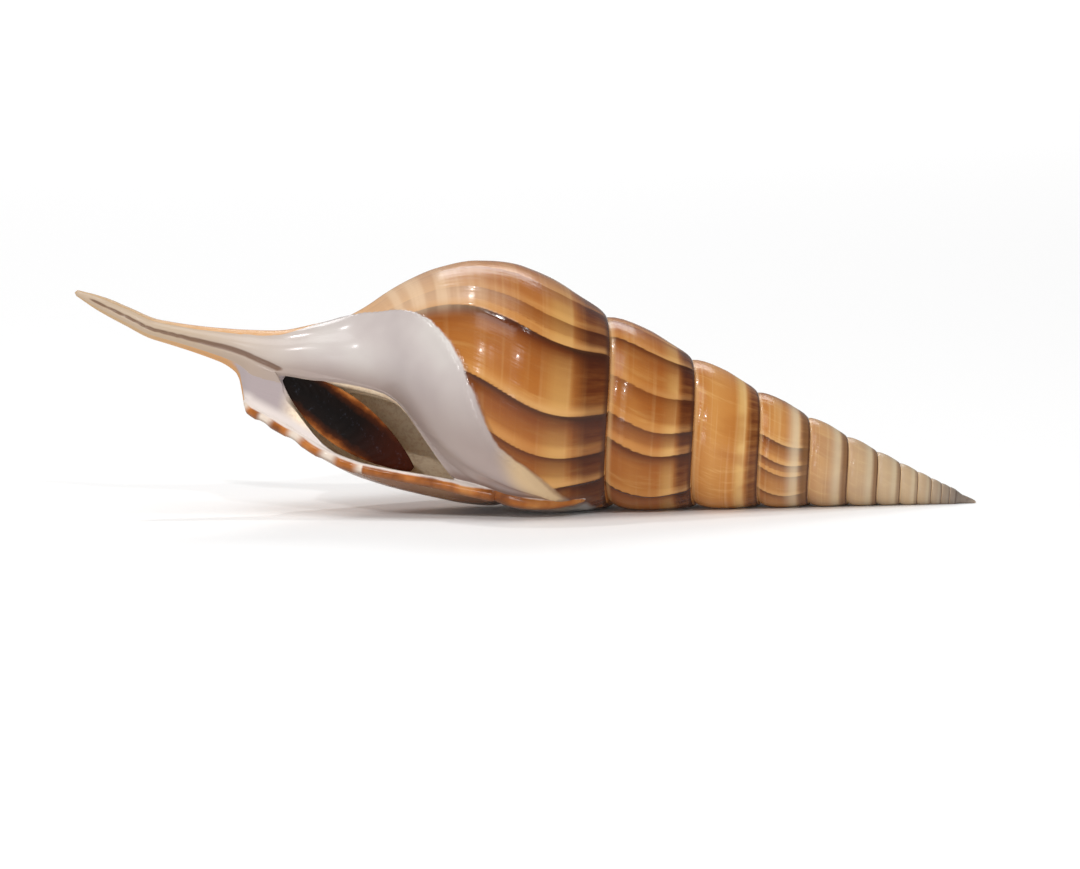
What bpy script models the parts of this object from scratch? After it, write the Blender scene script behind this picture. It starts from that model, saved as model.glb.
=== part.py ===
"""A tibia sea shell lying on its side, with its horny operculum in the mouth.

The shell is one grown piece: a tall spire of whorls, a swollen last whorl, a drawn-out rostrum, a thick
lip with low teeth, and a glossy callus that ends in a narrow spur. Its chamber is hollow and opens at the
mouth. Places on it are given by three values: the distance along the shell's axis from the apex, the
angle round the axis in the direction of growth (0 is the side that the mouth faces, 90 is its top), and
the radius.
"""

import math

import bmesh
import bpy
import numpy as np
from mathutils import Vector

MM = 0.001

# Driving sizes, in millimetres and degrees
LENGTH = 150.0
AXIS_TILT = 14.2
ROLL = 7.0
WHORL_GROWTH = 1.30
LAST_SUTURE = 61.75
SPIRE_WHORLS = 11
TIP_RING = 1.6
ROUNDED_END = 0.4
LIP_ANGLE = 297.0
SUTURE_DEPTH = 0.038
CALLUS = 0.55
WALL = 1.15
CHAMBER_START = -240.0
CHAMBER_STEP = 15.0
MOUTH_FRONT = 118.4
MOUTH_FLARE = 288.0
FLAT_DEPTH = 0.4
GROUND = (0.3, 0.2, 0.02)

# How finely the surface is divided
MERIDIANS = 40
LARGE_WHORL_ROWS = (0.0, 0.09, 0.32, 0.62, 0.91)
SMALL_WHORL_ROWS = (0.0, 0.28, 0.82)
LARGE_WHORLS = 5
BODY_ROWS = (
    0.0, 0.02, 0.07, 0.12, 0.17, 0.22, 0.27, 0.32, 0.37, 0.42, 0.465, 0.51, 0.555, 0.6, 0.62, 0.637, 0.65,
    0.668, 0.7, 0.75, 0.8, 0.85, 0.9, 0.95, 1.0,
)

# Outline at the top of the last whorl and spire: distance from the apex, height over the axis
CREST = (
    (0.0, 0.6), (1.8, 0.95), (5.7, 1.7), (15.0, 3.45), (32.5, 7.5), (45.0, 10.65), (53.0, 12.9),
    (61.0, 15.4), (70.0, 17.9), (76.0, 19.8), (82.0, 20.65), (88.0, 19.75), (94.0, 17.1), (98.0, 14.2),
    (101.0, 11.4), (104.0, 8.1), (107.3, 5.2), (111.0, 3.0), (115.0, 1.4), (119.0, 0.5), (124.0, -0.25),
    (130.0, -0.95), (136.0, -1.35), (141.4, -0.5), (145.6, 0.16), (150.0, 0.3),
)

# Outline at the underside, where the last whorl ends in the lip
BELLY = (
    (0.0, 0.6), (1.8, 0.95), (5.7, 1.7), (15.0, 3.45), (32.5, 7.5), (45.0, 10.65), (53.0, 12.9),
    (61.0, 15.4), (68.0, 17.2), (75.0, 18.5), (83.0, 19.2), (91.0, 19.3), (98.0, 18.9), (104.0, 17.6),
    (110.7, 15.1), (115.0, 13.8), (119.0, 12.4), (120.3, 9.6), (121.6, 7.1), (124.8, 5.8), (130.0, 5.1),
    (136.0, 4.7), (141.4, 3.5), (145.6, 2.3), (150.0, 0.66),
)

# Height of the rostrum's middle over the axis, and the radius of the rostrum and columella
MIDDLE = (
    (0.0, 0.0), (95.0, 0.0), (104.0, -0.5), (111.0, -1.5), (116.0, -2.7), (120.0, -3.1), (136.0, -3.05),
    (141.4, -2.0), (145.6, -1.1), (150.0, -0.2),
)
COLUMELLA = (
    (0.0, 0.2), (60.0, 2.5), (85.0, 5.2), (95.0, 5.6), (100.0, 5.3), (105.0, 4.9), (111.0, 4.3),
    (115.0, 3.9), (119.0, 3.55), (124.0, 2.8), (130.0, 2.1), (136.0, 1.7), (141.4, 1.5), (145.6, 1.25),
    (150.0, 0.5),
)

# Edge of the callus on the front: angle, distance from the apex
CALLUS_EDGE = (
    (-75.0, 60.0), (-64.0, 62.4), (-38.0, 71.8), (-27.0, 77.4), (-16.0, 80.7), (8.0, 85.8), (34.0, 92.6),
    (64.0, 101.0), (100.0, 108.0),
)

# Inner edge of the mouth: distance from the apex, angle
MOUTH_EDGE = (
    (78.0, -58.0), (84.8, -57.0), (88.4, -53.0), (92.7, -46.0), (98.4, -40.0), (105.0, -38.0),
    (120.0, -30.0),
)

# Edge of the lip: distance from the apex, angle. It swings back towards the front tooth
LIP_EDGE = (
    (76.0, 297.0), (84.0, 297.0), (92.0, 294.0), (100.0, 288.0), (108.0, 282.0), (119.0, 277.0),
    (124.0, 277.0),
)

# Rolled rim of the lip, on to the spur: distance, angle, height over the surface, radius
RIM = (
    (119.2, 277.5, -0.55, 0.7), (116.5, 278.5, -0.5, 0.75), (112.0, 280.5, -0.45, 0.8),
    (107.0, 283.0, -0.45, 0.85), (102.0, 287.0, -0.45, 0.9), (97.0, 291.0, -0.45, 0.95),
    (91.0, 295.0, -0.45, 1.0), (85.0, 297.0, -0.4, 1.1), (79.0, 298.0, -0.1, 1.25),
    (74.5, 298.5, 0.35, 1.35), (70.0, 299.0, 0.55, 1.25), (66.0, 299.0, 0.45, 1.0), (62.6, 298.0, 0.1, 0.6),
)

# Ridge of callus beside the rim; the channel between them is the rear canal
CALLUS_RIDGE = (
    (62.8, 300.5, 0.0, 0.55), (66.0, 306.5, 0.1, 0.9), (70.5, 312.0, 0.1, 1.15), (75.5, 316.0, 0.05, 1.3),
    (80.5, 318.0, -0.2, 1.2), (85.0, 319.0, -0.6, 0.9), (89.0, 320.0, -0.9, 0.5),
)

# Low teeth along the front of the lip: distance from the apex, half length
LIP_TEETH = ((117.6, 1.3), (112.8, 1.8), (107.1, 2.1), (100.9, 2.0))
TOOTH_RADIUS = 0.85
TOOTH_SUNK = 0.7

# Canal along the rostrum: distance, angle, height over the surface, radius
CANAL = (
    (114.5, 330.0, -0.1, 0.4), (118.0, 341.0, 0.1, 0.6), (121.5, 350.0, 0.1, 0.65), (125.0, 354.0, 0.12, 0.6),
    (130.0, 355.0, 0.12, 0.5), (136.0, 355.0, 0.12, 0.42), (142.0, 358.0, 0.12, 0.36),
    (147.0, 360.0, 0.12, 0.3),
)

# Operculum: its two ends as distance, height and depth to the front, its width and thickness
OPERCULUM_FRONT = (112.4, -7.3, 3.6)
OPERCULUM_REAR = (90.4, -15.7, 3.0)
OPERCULUM_WIDTH = 7.4
OPERCULUM_THICKNESS = 0.7


def smooth_line(points):
    """A line y(x) through the points that bends softly and doesn't overshoot between them."""
    xs, ys = np.array(points, dtype=float).T
    steps = np.diff(ys) / np.diff(xs)
    inner = [2 * a * b / (a + b) if a * b > 0 else 0.0 for a, b in zip(steps, steps[1:])]
    slopes = np.array([steps[0], *inner, steps[-1]])

    def value(x):
        x = min(max(x, xs[0]), xs[-1])
        k = min(int(np.searchsorted(xs, x, side="right")) - 1, len(xs) - 2)
        width = xs[k + 1] - xs[k]
        t = (x - xs[k]) / width
        return float(
            ys[k] * (1 + 2 * t) * (1 - t) ** 2
            + ys[k + 1] * t * t * (3 - 2 * t)
            + slopes[k] * width * t * (1 - t) ** 2
            - slopes[k + 1] * width * t * t * (1 - t)
        )

    return value


def soft_step(x):
    x = min(max(x, 0.0), 1.0)
    return x * x * (3 - 2 * x)


crest_height = smooth_line(CREST)
belly_height = smooth_line(BELLY)
middle_height = smooth_line(MIDDLE)
columella_radius = smooth_line(COLUMELLA)
callus_edge = smooth_line(CALLUS_EDGE)
mouth_edge = smooth_line(MOUTH_EDGE)
lip_edge = smooth_line(LIP_EDGE)


def at(s, angle, radius):
    """The point at a distance along the axis, an angle round it and a radius from the shell's middle."""
    up = middle_height(s) + radius * math.sin(math.radians(angle))
    return at_height(s, up, radius * math.cos(math.radians(angle)))


def at_height(s, up, front):
    """The point at a distance along the axis, a height over it and a depth to the front."""
    tilt = math.radians(AXIS_TILT)
    roll = math.radians(ROLL)
    over = up * math.cos(roll) + front * math.sin(roll)
    nearer = front * math.cos(roll) - up * math.sin(roll)
    x = -s * math.cos(tilt) + over * math.sin(tilt)
    z = s * math.sin(tilt) + over * math.cos(tilt)
    return Vector((x, -nearer, z)) * MM


def suture(angle):
    """Distance from the apex of the suture that has grown to an angle, counted from the last one."""
    return LAST_SUTURE * WHORL_GROWTH ** (angle / 360.0)


def whorl_radius(s, angle):
    """Outside radius of the whorl grown to an angle: a log spiral that settles in the last half turn."""
    if angle <= 90.0:
        grown = WHORL_GROWTH ** ((90.0 - angle) / 360.0)
        far = s * grown
        radius = (crest_height(far) - middle_height(far)) / grown
    else:
        share = soft_step((angle - 90.0) / 180.0)
        crest = crest_height(s) - middle_height(s)
        belly = belly_height(s) + middle_height(s)
        radius = crest + (belly - crest) * share
    return max(radius, columella_radius(s))


def callus_height(s, angle):
    """Thickness of the glossy callus laid over the front of the last whorl."""
    if angle > 110.0 or s > 135.0:
        return 0.0
    fade = soft_step((110.0 - angle) / 30.0) * soft_step((135.0 - s) / 25.0)
    return CALLUS * soft_step((s - callus_edge(angle)) / 2.2) * fade


def suture_groove(share, depth):
    """Factor that draws a whorl in at its sutures; share runs from the rear suture to the front one."""
    rear = max(0.0, 1.0 - share / 0.3)
    front = max(0.0, 1.0 - (1.0 - share) / 0.1)
    return 1.0 - depth * (0.4 * rear + 0.6 * rear ** 4) - depth * front ** 2


def body_radius(s, angle):
    """Outside radius past the last suture, with the mouth spanned from the lip's edge to the inner lip."""
    lip = lip_edge(s)
    inner = mouth_edge(s) + 360.0
    if angle <= lip:
        return whorl_radius(s, angle) + callus_height(s, angle)
    if angle >= inner:
        return whorl_radius(s, angle - 360.0) + callus_height(s, angle - 360.0)
    edge = whorl_radius(s, lip)
    wall = whorl_radius(s, inner - 360.0) + callus_height(s, inner - 360.0)
    a = edge * np.exp(1j * math.radians(lip))
    b = wall * np.exp(1j * math.radians(inner))
    ray = np.exp(1j * math.radians(angle))
    span = b - a
    return float((a * span.conjugate()).imag / (ray * span.conjugate()).imag)


def meridian(column):
    """One line of points from the apex to the rostrum's end, with a point in every suture that it crosses."""
    turn = 360.0 * column / MERIDIANS
    line = [(0.0, at(0.0, turn, 0.0)), (TIP_RING, at(TIP_RING, turn, whorl_radius(TIP_RING, turn)))]
    for whorl in range(-SPIRE_WHORLS, 0):
        rows = LARGE_WHORL_ROWS if whorl >= -LARGE_WHORLS else SMALL_WHORL_ROWS
        grown = turn + 360.0 * whorl
        for share in rows:
            s = suture(grown + 360.0 * share)
            radius = whorl_radius(s, grown) + callus_height(s, turn - 360.0) * (turn > 270.0)
            line.append((s, at(s, turn, radius * suture_groove(share, SUTURE_DEPTH))))
    start = suture(turn)
    depth = SUTURE_DEPTH * soft_step((LIP_ANGLE + 10.0 - turn) / 25.0)
    for share in BODY_ROWS:
        s = start + (LENGTH - start) * share
        angle = lip_column_angle(turn, s)
        radius = body_radius(s, angle)
        if share < 0.12:
            radius *= suture_groove(share * 2.5, depth)
        line.append((s, at(s, angle, radius)))
    line.append((LENGTH + ROUNDED_END, at(LENGTH + ROUNDED_END, turn, 0.0)))
    return line


def lip_column_angle(turn, s):
    """Angle of a meridian at a distance: those near the lip swing with its edge."""
    pull = max(0.0, 1.0 - abs(turn - LIP_ANGLE) / 45.0)
    return turn + (lip_edge(s) - LIP_ANGLE) * pull


def close_mesh(name, bm):
    """Turn a bmesh into an object's mesh, with its faces pointing out."""
    bmesh.ops.remove_doubles(bm, verts=bm.verts, dist=1e-7)
    bmesh.ops.recalc_face_normals(bm, faces=bm.faces)
    if bm.calc_volume(signed=True) < 0.0:
        bmesh.ops.reverse_faces(bm, faces=bm.faces)
    mesh = bpy.data.meshes.new(name)
    bm.to_mesh(mesh)
    bm.free()
    return bpy.data.objects.new(name, mesh)


def outer_body():
    """The outside of the whole shell: a loft between meridians, closed at the apex and the rostrum's end."""
    bm = bmesh.new()
    columns = []
    for column in range(MERIDIANS):
        points = meridian(column)
        columns.append([(s, bm.verts.new(p)) for s, p in points])
    for left, right in zip(columns, columns[1:] + columns[:1]):
        i = j = 0
        while i < len(left) - 1 or j < len(right) - 1:
            go_left = j == len(right) - 1 or (i < len(left) - 1 and left[i + 1][0] <= right[j + 1][0])
            ahead = left[i + 1][1] if go_left else right[j + 1][1]
            bm.faces.new((left[i][1], right[j][1], ahead))
            i, j = (i + 1, j) if go_left else (i, j + 1)
    return close_mesh("shell", bm)


def loft(name, rings):
    """A closed solid between rings that all have the same number of points."""
    bm = bmesh.new()
    made = [[bm.verts.new(p) for p in ring] for ring in rings]
    for before, after in zip(made, made[1:]):
        for k in range(len(before)):
            n = (k + 1) % len(before)
            bm.faces.new((before[k], before[n], after[n], after[k]))
    bm.faces.new(made[0])
    bm.faces.new(made[-1][::-1])
    bmesh.ops.triangulate(bm, faces=bm.faces)
    return close_mesh(name, bm)


def chamber_ring(angle):
    """Section of the chamber at an angle, between the whorl's wall and the whorl inside it."""
    rear = suture(angle) * 1.08
    front = MOUTH_FRONT * WHORL_GROWTH ** (min(angle - LIP_ANGLE, 0.0) / 360.0)
    past_lip = max(0.0, angle - MOUTH_FLARE)
    outer, inner = [], []
    for share in np.linspace(0.0, 1.0, 9):
        s = rear + (front - rear) * share
        away = whorl_radius(s, min(angle, LIP_ANGLE)) - WALL + 0.22 * past_lip
        close = min(max(whorl_radius(s, angle - 360.0), columella_radius(s)) + 0.055 * past_lip, away - 0.3)
        half = (away - close) / 2.0 * (1.0 - abs(2.0 * share - 1.0) ** 5 * 0.6)
        centre = (away + close) / 2.0
        outer.append(at(s, angle, centre + half))
        inner.append(at(s, angle, centre - half))
    return outer + inner[::-1]


def chamber():
    """The hollow that the animal lived in, about one turn and a half of it, out through the mouth."""
    angles = list(np.arange(CHAMBER_START, 271.0, CHAMBER_STEP))
    angles += [282.0, 291.0, 300.0, 309.0, 318.0, 327.0, 336.0]
    return loft("chamber", [chamber_ring(a) for a in angles])


def swept(name, path, sides=8, per_step=3):
    """A round bar along a path given as distance, angle, height over the surface and radius."""
    knots = np.arange(len(path))
    lines = [smooth_line(np.column_stack((knots, np.array(path)[:, c]))) for c in range(4)]
    places = np.linspace(0, len(path) - 1, (len(path) - 1) * per_step + 1)
    centres, radii = [], []
    for p in places:
        s, angle, height, radius = (line(p) for line in lines)
        if s > suture(LIP_ANGLE):
            surface = whorl_radius(s, min(angle, lip_edge(s))) if angle < 305.0 else body_radius(s, angle)
        else:
            surface = whorl_radius(s, angle - 360.0)
        centres.append(at(s, angle, surface + height))
        radii.append(radius * MM)
    rings = []
    for k, (centre, radius) in enumerate(zip(centres, radii)):
        along = (centres[min(k + 1, len(centres) - 1)] - centres[max(k - 1, 0)]).normalized()
        side = along.cross(Vector((0.0, 0.0, 1.0))).normalized()
        over = side.cross(along)
        turns = [2 * math.pi * n / sides for n in range(sides)]
        rings.append([centre + radius * (math.cos(t) * side + math.sin(t) * over) for t in turns])
    return loft(name, rings)


def lip_tooth(number, s, half_length):
    """One low rounded tooth on the front of the lip."""
    bm = bmesh.new()
    bmesh.ops.create_uvsphere(bm, u_segments=8, v_segments=5, radius=1.0)
    centre, ahead = (
        at(place, lip_edge(place) + 1.0, whorl_radius(place, lip_edge(place)) - TOOTH_SUNK)
        for place in (s, s + 1.0)
    )
    turn = (ahead - centre).to_track_quat("Z", "Y").to_matrix()
    for v in bm.verts:
        stretched = Vector((v.co.x * TOOTH_RADIUS, v.co.y * TOOTH_RADIUS, v.co.z * half_length)) * MM
        v.co = turn @ stretched + centre
    return close_mesh(f"lip_tooth_{number}", bm)


def operculum():
    """The thin horny leaf that closes the mouth, pointed at both ends and slightly hollow."""
    front = at_height(*OPERCULUM_FRONT)
    rear = at_height(*OPERCULUM_REAR)
    along = rear - front
    face = Vector((0.0, -1.0, 0.0))
    across = along.normalized().cross(face).normalized()
    face = across.cross(along.normalized())
    half_width = OPERCULUM_WIDTH * MM / 2
    half_thick = OPERCULUM_THICKNESS * MM / 2
    rings = []
    for t in np.linspace(0.0, 1.0, 15):
        swell = math.sin(math.pi * (0.02 + 0.96 * t) ** 0.9) ** 0.75
        middle = front + along * t + face * (0.5 * MM * (4 * t * (1 - t) - 1))
        ring = []
        for n in range(12):
            turn = 2 * math.pi * n / 12
            out = math.cos(turn) * half_width * swell
            dish = 0.5 * MM * (out / half_width) ** 2
            thick = math.sin(turn) * half_thick * (0.5 + 0.5 * swell)
            ring.append(middle + across * out + face * (thick + dish))
        rings.append(ring)
    return loft("operculum", rings)


def material(name, colour, roughness):
    made = bpy.data.materials.new(name)
    made.use_nodes = True
    shader = made.node_tree.nodes["Principled BSDF"]
    shader.inputs["Base Color"].default_value = (*colour, 1.0)
    shader.inputs["Roughness"].default_value = roughness
    shader.inputs["Metallic"].default_value = 0.0
    return made


def combine(target, tool, operation):
    change = target.modifiers.new(tool.name, "BOOLEAN")
    change.operation = operation
    change.solver = "EXACT"
    change.object = tool


def bounds(objects):
    """Lowest and highest corner of the finished objects."""
    graph = bpy.context.evaluated_depsgraph_get()
    corners = []
    for thing in objects:
        done = thing.evaluated_get(graph)
        mesh = done.to_mesh()
        corners += [thing.matrix_world @ v.co for v in mesh.vertices]
        done.to_mesh_clear()
    return np.min(corners, axis=0), np.max(corners, axis=0)


def main():
    for thing in list(bpy.data.objects):
        bpy.data.objects.remove(thing, do_unlink=True)
    parts = bpy.data.collections.new("tibia_shell")
    tools = bpy.data.collections.new("tibia_shell_tools")
    bpy.context.scene.collection.children.link(parts)
    bpy.context.scene.collection.children.link(tools)
    root = bpy.data.objects.new("tibia_shell_root", None)
    parts.objects.link(root)

    shell = outer_body()
    leaf = operculum()
    parts.objects.link(shell)
    parts.objects.link(leaf)
    shell.data.materials.append(material("shell", (0.62, 0.37, 0.17), 0.25))
    leaf.data.materials.append(material("operculum", (0.06, 0.03, 0.02), 0.45))

    grown = [swept("lip_rim", RIM), swept("callus_ridge", CALLUS_RIDGE)]
    grown += [lip_tooth(n + 1, s, half) for n, (s, half) in enumerate(LIP_TEETH)]
    cut = [chamber(), swept("canal", CANAL, sides=6, per_step=2)]
    for tool in cut + grown:
        tools.objects.link(tool)
        tool.hide_render = True
        tool.display_type = "WIRE"
        tool.parent = root
    for tool in cut:
        combine(shell, tool, "DIFFERENCE")
    for tool in grown:
        combine(shell, tool, "UNION")
    for thing in (shell, leaf):
        thing.parent = root
        thing.data.shade_smooth()
        thing.data.set_sharp_from_angle(angle=math.radians(40.0))

    bpy.context.view_layer.update()
    low, high = bounds([shell, leaf])
    bpy.ops.mesh.primitive_cube_add(size=1.0)
    ground = bpy.context.object
    ground.name = "ground_flat"
    ground.scale = GROUND
    ground.location = ((low[0] + high[0]) / 2, 0.0, low[2] + FLAT_DEPTH * MM - GROUND[2] / 2)
    for owner in list(ground.users_collection):
        owner.objects.unlink(ground)
    tools.objects.link(ground)
    ground.hide_render = True
    ground.display_type = "WIRE"
    ground.parent = root
    combine(shell, ground, "DIFFERENCE")

    bpy.context.view_layer.update()
    low, high = bounds([shell, leaf])
    root.location = (-(low[0] + high[0]) / 2, -(low[1] + high[1]) / 2, -low[2])


main()
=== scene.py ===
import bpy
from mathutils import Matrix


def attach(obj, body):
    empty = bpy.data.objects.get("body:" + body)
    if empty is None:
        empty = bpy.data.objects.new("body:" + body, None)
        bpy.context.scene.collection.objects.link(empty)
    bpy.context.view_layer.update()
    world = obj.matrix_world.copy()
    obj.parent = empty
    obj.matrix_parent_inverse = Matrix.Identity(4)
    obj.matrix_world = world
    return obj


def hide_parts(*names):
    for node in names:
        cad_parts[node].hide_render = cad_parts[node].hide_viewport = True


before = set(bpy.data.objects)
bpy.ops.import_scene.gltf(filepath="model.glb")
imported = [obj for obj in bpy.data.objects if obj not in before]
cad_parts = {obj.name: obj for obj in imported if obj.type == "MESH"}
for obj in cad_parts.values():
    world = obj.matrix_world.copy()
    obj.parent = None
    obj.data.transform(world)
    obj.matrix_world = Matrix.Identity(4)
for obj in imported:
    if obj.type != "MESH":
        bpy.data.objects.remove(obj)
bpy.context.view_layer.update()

import math

import bmesh
import bpy
import numpy as np
from mathutils import Matrix, Vector

# Shell
# One grown piece of shell, laid down by the animal at the lip in a spiral that widens by 1.3 a turn. Its
# whorls, ridges, callus and rostrum are one skin of porcelain-like aragonite round the hollow that it lived
# in. Places on it are a distance from the apex in millimetres and an angle of growth in degrees.
MM = 0.001
APEX = np.array([72.9266, -0.3918, 0.0904])
AXIS_TILT = math.radians(14.2)
ROLL = math.radians(7.0)
WHORL_GROWTH = 1.30
LAST_SUTURE = 61.75
SPIRE_WHORLS = 11
LENGTH = 150.0
TIP = ((0.06, 0.16), (0.3, 0.32), (0.8, 0.46), (1.6, 0.62), (2.5, 0.76))
ROUNDED_END = 0.4
LIP_ANGLE = 297.0
FIRST_ANGLE = LIP_ANGLE - 360.0
WALL = 1.15
CALLUS = 0.55
CALLUS_BEAD = 0.30
SUTURE_DEPTH = 0.034
RIDGE_HEIGHT = 0.28
OLDER_WIDTH = 1.0
YOUNGER_WIDTH = 3.8
COLUMN_BLEND = 1.3
GROWTH_BEND = 7.0
FLAT_LEVEL = 0.02

# Profile lines by distance from the apex: heights over and under the middle, and the column's radius
CREST = (
    (0.0, 0.6), (1.8, 0.95), (5.7, 1.7), (15.0, 3.45), (32.5, 7.5), (45.0, 10.65), (53.0, 12.9),
    (61.0, 15.4), (70.0, 17.9), (76.0, 19.8), (82.0, 20.65), (88.0, 19.75), (94.0, 17.1), (98.0, 14.2),
    (101.0, 11.4), (104.0, 8.1), (107.3, 5.2), (111.0, 3.0), (115.0, 1.4), (119.0, 0.5), (124.0, -0.25),
    (130.0, -0.95), (136.0, -1.35), (141.4, -0.5), (145.6, 0.16), (150.0, 0.3),
)
BELLY = (
    (0.0, 0.6), (1.8, 0.95), (5.7, 1.7), (15.0, 3.45), (32.5, 7.5), (45.0, 10.65), (53.0, 12.9),
    (61.0, 15.4), (68.0, 17.2), (75.0, 18.5), (83.0, 19.2), (91.0, 19.3), (98.0, 18.9), (104.0, 17.6),
    (110.7, 15.1), (115.0, 13.8), (119.0, 12.4), (120.3, 9.6), (121.6, 7.1), (124.8, 5.8), (130.0, 5.1),
    (136.0, 4.7), (141.4, 3.5), (145.6, 2.3), (150.0, 0.66),
)
MIDDLE = (
    (0.0, 0.0), (95.0, 0.0), (104.0, -0.5), (111.0, -1.5), (116.0, -2.7), (120.0, -3.1), (136.0, -3.05),
    (141.4, -2.0), (145.6, -1.1), (150.0, -0.2),
)
COLUMELLA = (
    (0.0, 0.2), (60.0, 2.5), (85.0, 5.2), (95.0, 5.6), (100.0, 5.3), (105.0, 4.9), (111.0, 4.3),
    (115.0, 3.9), (119.0, 3.55), (124.0, 2.8), (130.0, 2.1), (136.0, 1.7), (141.4, 1.5), (145.6, 1.25),
    (150.0, 0.5),
)

# Edges on the skin: the callus by angle and distance, the mouth and the lip by distance and angle
CALLUS_EDGE = (
    (-75.0, 60.0), (-64.0, 62.4), (-38.0, 71.8), (-27.0, 77.4), (-16.0, 80.7), (8.0, 85.8), (34.0, 92.6),
    (64.0, 101.0), (100.0, 108.0),
)
MOUTH_EDGE = (
    (78.0, -58.0), (84.8, -57.0), (88.4, -53.0), (92.7, -46.0), (98.4, -40.5), (105.0, -36.5),
    (110.0, -31.0), (115.0, -25.0), (120.0, -19.0),
)
LIP_EDGE = (
    (76.0, 297.0), (84.0, 297.0), (92.0, 294.0), (100.0, 288.0), (108.0, 282.0), (119.0, 277.0),
    (124.0, 277.0),
)

# Angles of growth at which the animal rested and left a ridge, and how strong each ridge is
RIDGES = (
    (-41.0, 0.9), (-22.0, 0.7), (1.0, 1.0), (37.0, 1.0), (51.0, 0.35), (72.0, 0.2), (98.0, 0.3),
    (121.0, 0.7), (149.0, 0.35), (172.0, 0.9), (204.0, 0.5), (238.0, 0.8), (263.0, 0.3), (284.0, 0.5),
    (-79.0, 0.6), (-104.0, 0.3), (-131.0, 0.7), (-158.0, 0.9), (-192.0, 0.4), (-226.0, 0.8), (-255.0, 0.6),
    (-281.0, 0.25), (-303.0, 0.75), (-333.0, 0.4), (-357.0, 0.65), (-373.0, 0.8), (-408.0, 0.9),
    (-990.0, 0.4), (-1061.0, 0.8), (-1082.0, 0.7), (-1095.0, 0.6), (-1122.0, 0.7),
)


def smooth_line(points):
    """A line y(x) through the points that bends softly and doesn't overshoot between them."""
    xs, ys = np.array(points, dtype=float).T
    steps = np.diff(ys) / np.diff(xs)
    both = steps[:-1] * steps[1:]
    total = np.where(both > 0.0, steps[:-1] + steps[1:], 1.0)
    slopes = np.concatenate((steps[:1], np.where(both > 0.0, 2.0 * both / total, 0.0), steps[-1:]))

    def value(x):
        x = np.clip(x, xs[0], xs[-1])
        k = np.clip(np.searchsorted(xs, x, side="right") - 1, 0, len(xs) - 2)
        width = xs[k + 1] - xs[k]
        t = (x - xs[k]) / width
        return (
            ys[k] * (1 + 2 * t) * (1 - t) ** 2
            + ys[k + 1] * t * t * (3 - 2 * t)
            + slopes[k] * width * t * (1 - t) ** 2
            - slopes[k + 1] * width * t * t * (1 - t)
        )

    return value


crest_height = smooth_line(CREST)
belly_height = smooth_line(BELLY)
middle_height = smooth_line(MIDDLE)
columella_radius = smooth_line(COLUMELLA)
callus_edge = smooth_line(CALLUS_EDGE)
mouth_edge = smooth_line(MOUTH_EDGE)
lip_edge = smooth_line(LIP_EDGE)

ALONG = np.array([-math.cos(AXIS_TILT), 0.0, math.sin(AXIS_TILT)])
UP = np.array([
    math.cos(ROLL) * math.sin(AXIS_TILT),
    math.sin(ROLL),
    math.cos(ROLL) * math.cos(AXIS_TILT),
])
FRONT = np.array([
    math.sin(ROLL) * math.sin(AXIS_TILT),
    -math.cos(ROLL),
    math.sin(ROLL) * math.cos(AXIS_TILT),
])


def soft_step(x):
    """A soft rise from 0 to 1 as x goes from 0 to 1."""
    x = np.clip(x, 0.0, 1.0)
    return x * x * (3 - 2 * x)


def place(s, angle, radius):
    """Points at distances along the axis, angles round it and radii from the shell's middle, in metres."""
    s, angle, radius = np.broadcast_arrays(s, np.radians(angle), radius)
    up = middle_height(s) + radius * np.sin(angle)
    front = radius * np.cos(angle)
    return (APEX + s[..., None] * ALONG + up[..., None] * UP + front[..., None] * FRONT) * MM


def suture(angle):
    """Distance from the apex of the rear suture at an angle of growth."""
    return LAST_SUTURE * WHORL_GROWTH ** (np.asarray(angle) / 360.0)


def across(s, angle):
    """How far across a whorl a place lies: 0 at its rear suture, 1 where the next whorl's suture runs."""
    return np.log(np.maximum(s, 0.1) / suture(angle)) / math.log(WHORL_GROWTH)


def whorl_radius(s, angle):
    """Outside radius of the whorl grown to an angle: a log spiral that settles in the last half turn."""
    grown = WHORL_GROWTH ** (np.maximum(90.0 - angle, 0.0) / 360.0)
    far = s * grown
    spiral = (crest_height(far) - middle_height(far)) / grown
    belly = belly_height(s) + middle_height(s)
    share = soft_step((angle - 90.0) / 180.0)
    whorl = spiral + (belly - spiral) * share
    column = columella_radius(s)
    blend = COLUMN_BLEND * soft_step((118.0 - s) / 10.0)
    return (whorl + column + np.hypot(whorl - column, blend)) / 2.0


def callus_height(s, angle):
    """Thickness of the glossy callus, with a low bead along its edge."""
    past = s - callus_edge(angle)
    fade = soft_step((110.0 - angle) / 30.0) * soft_step((135.0 - s) / 25.0)
    fade = fade * soft_step((angle + 90.0) / 25.0)
    bead = CALLUS_BEAD * np.exp(-((past - 1.3) / 0.9) ** 2) * soft_step((70.0 - angle) / 30.0)
    return (CALLUS * soft_step(past / 1.5) + bead) * fade


def growth_line(s, angle):
    """Angle of growth of the old lip edge that passes through a place: lip edges curve along the shell."""
    return angle + GROWTH_BEND * np.sin(math.pi * np.clip(across(s, angle), 0.0, 1.5))


def ridge_height(s, angle):
    """Low growth ridges: steep on the older side, gentle on the younger, and none under the callus."""
    grown = growth_line(s, angle)
    height = np.zeros_like(grown)
    for ridge, strength in RIDGES:
        past = grown - ridge
        width = np.where(past < 0.0, OLDER_WIDTH, YOUNGER_WIDTH)
        height = np.maximum(height, strength * np.exp(-(past / width) ** 2))
    size = whorl_radius(s, angle) / 20.0
    free = soft_step((callus_edge(angle) - s) / 1.5 + 0.3)
    free = np.where(angle > 90.0, soft_step((112.0 - s) / 20.0), free)
    start = soft_step(across(s, angle) / 0.06)
    return RIDGE_HEIGHT * size * height * free * start


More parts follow.
